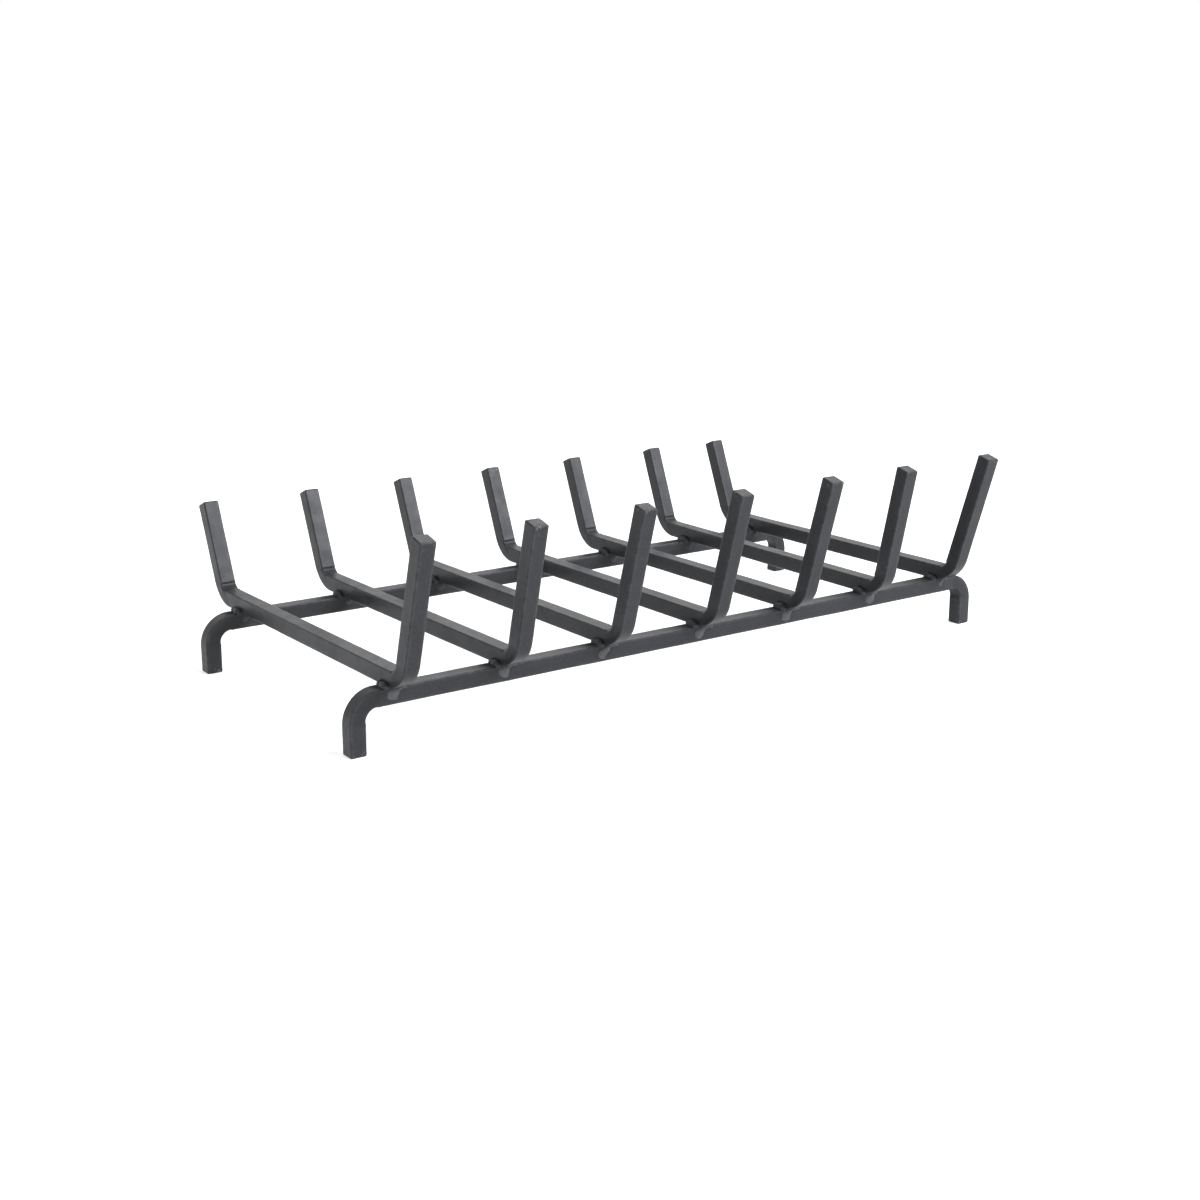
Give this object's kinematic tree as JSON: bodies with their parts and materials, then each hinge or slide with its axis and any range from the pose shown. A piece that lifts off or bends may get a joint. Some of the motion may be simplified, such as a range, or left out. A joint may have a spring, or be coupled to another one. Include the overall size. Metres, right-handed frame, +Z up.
{
  "type": "log grate",
  "caption": "Open fireplace grate of square steel bar: log bars with upturned ends welded across two bent rails whose ends are the legs.",
  "frame": {"origin": "on the hearth, under the middle of the grate's bounding box", "axes": "+X to the right along the rails, seen from the front; +Y to the rear; +Z up. The front is the side with the taller prongs"},
  "size_m": [0.61, 0.3665, 0.1594],
  "materials": {
    "painted_bar": "charcoal heat-resistant paint on hot-rolled bar, semi-matte",
    "painted_weld": "charcoal heat-resistant paint over a rippled weld bead, semi-matte"
  },
  "bodies": {
    "root": {"front_rail": "painted_bar", "rear_rail": "painted_bar", "log_bar_1": "painted_bar", "log_bar_2": "painted_bar", "log_bar_3": "painted_bar", "log_bar_4": "painted_bar", "log_bar_5": "painted_bar", "log_bar_6": "painted_bar", "log_bar_7": "painted_bar", "weld_front_1_left": "painted_weld", "weld_front_1_right": "painted_weld", "weld_rear_1_left": "painted_weld", "weld_rear_1_right": "painted_weld", "weld_front_2_left": "painted_weld", "weld_front_2_right": "painted_weld", "weld_rear_2_left": "painted_weld", "weld_rear_2_right": "painted_weld", "weld_front_3_left": "painted_weld", "weld_front_3_right": "painted_weld", "weld_rear_3_left": "painted_weld", "weld_rear_3_right": "painted_weld", "weld_front_4_left": "painted_weld", "weld_front_4_right": "painted_weld", "weld_rear_4_left": "painted_weld", "weld_rear_4_right": "painted_weld", "weld_front_5_left": "painted_weld", "weld_front_5_right": "painted_weld", "weld_rear_5_left": "painted_weld", "weld_rear_5_right": "painted_weld", "weld_front_6_left": "painted_weld", "weld_front_6_right": "painted_weld", "weld_rear_6_left": "painted_weld", "weld_rear_6_right": "painted_weld", "weld_front_7_left": "painted_weld", "weld_front_7_right": "painted_weld", "weld_rear_7_left": "painted_weld", "weld_rear_7_right": "painted_weld"}
  },
  "joints": []
}
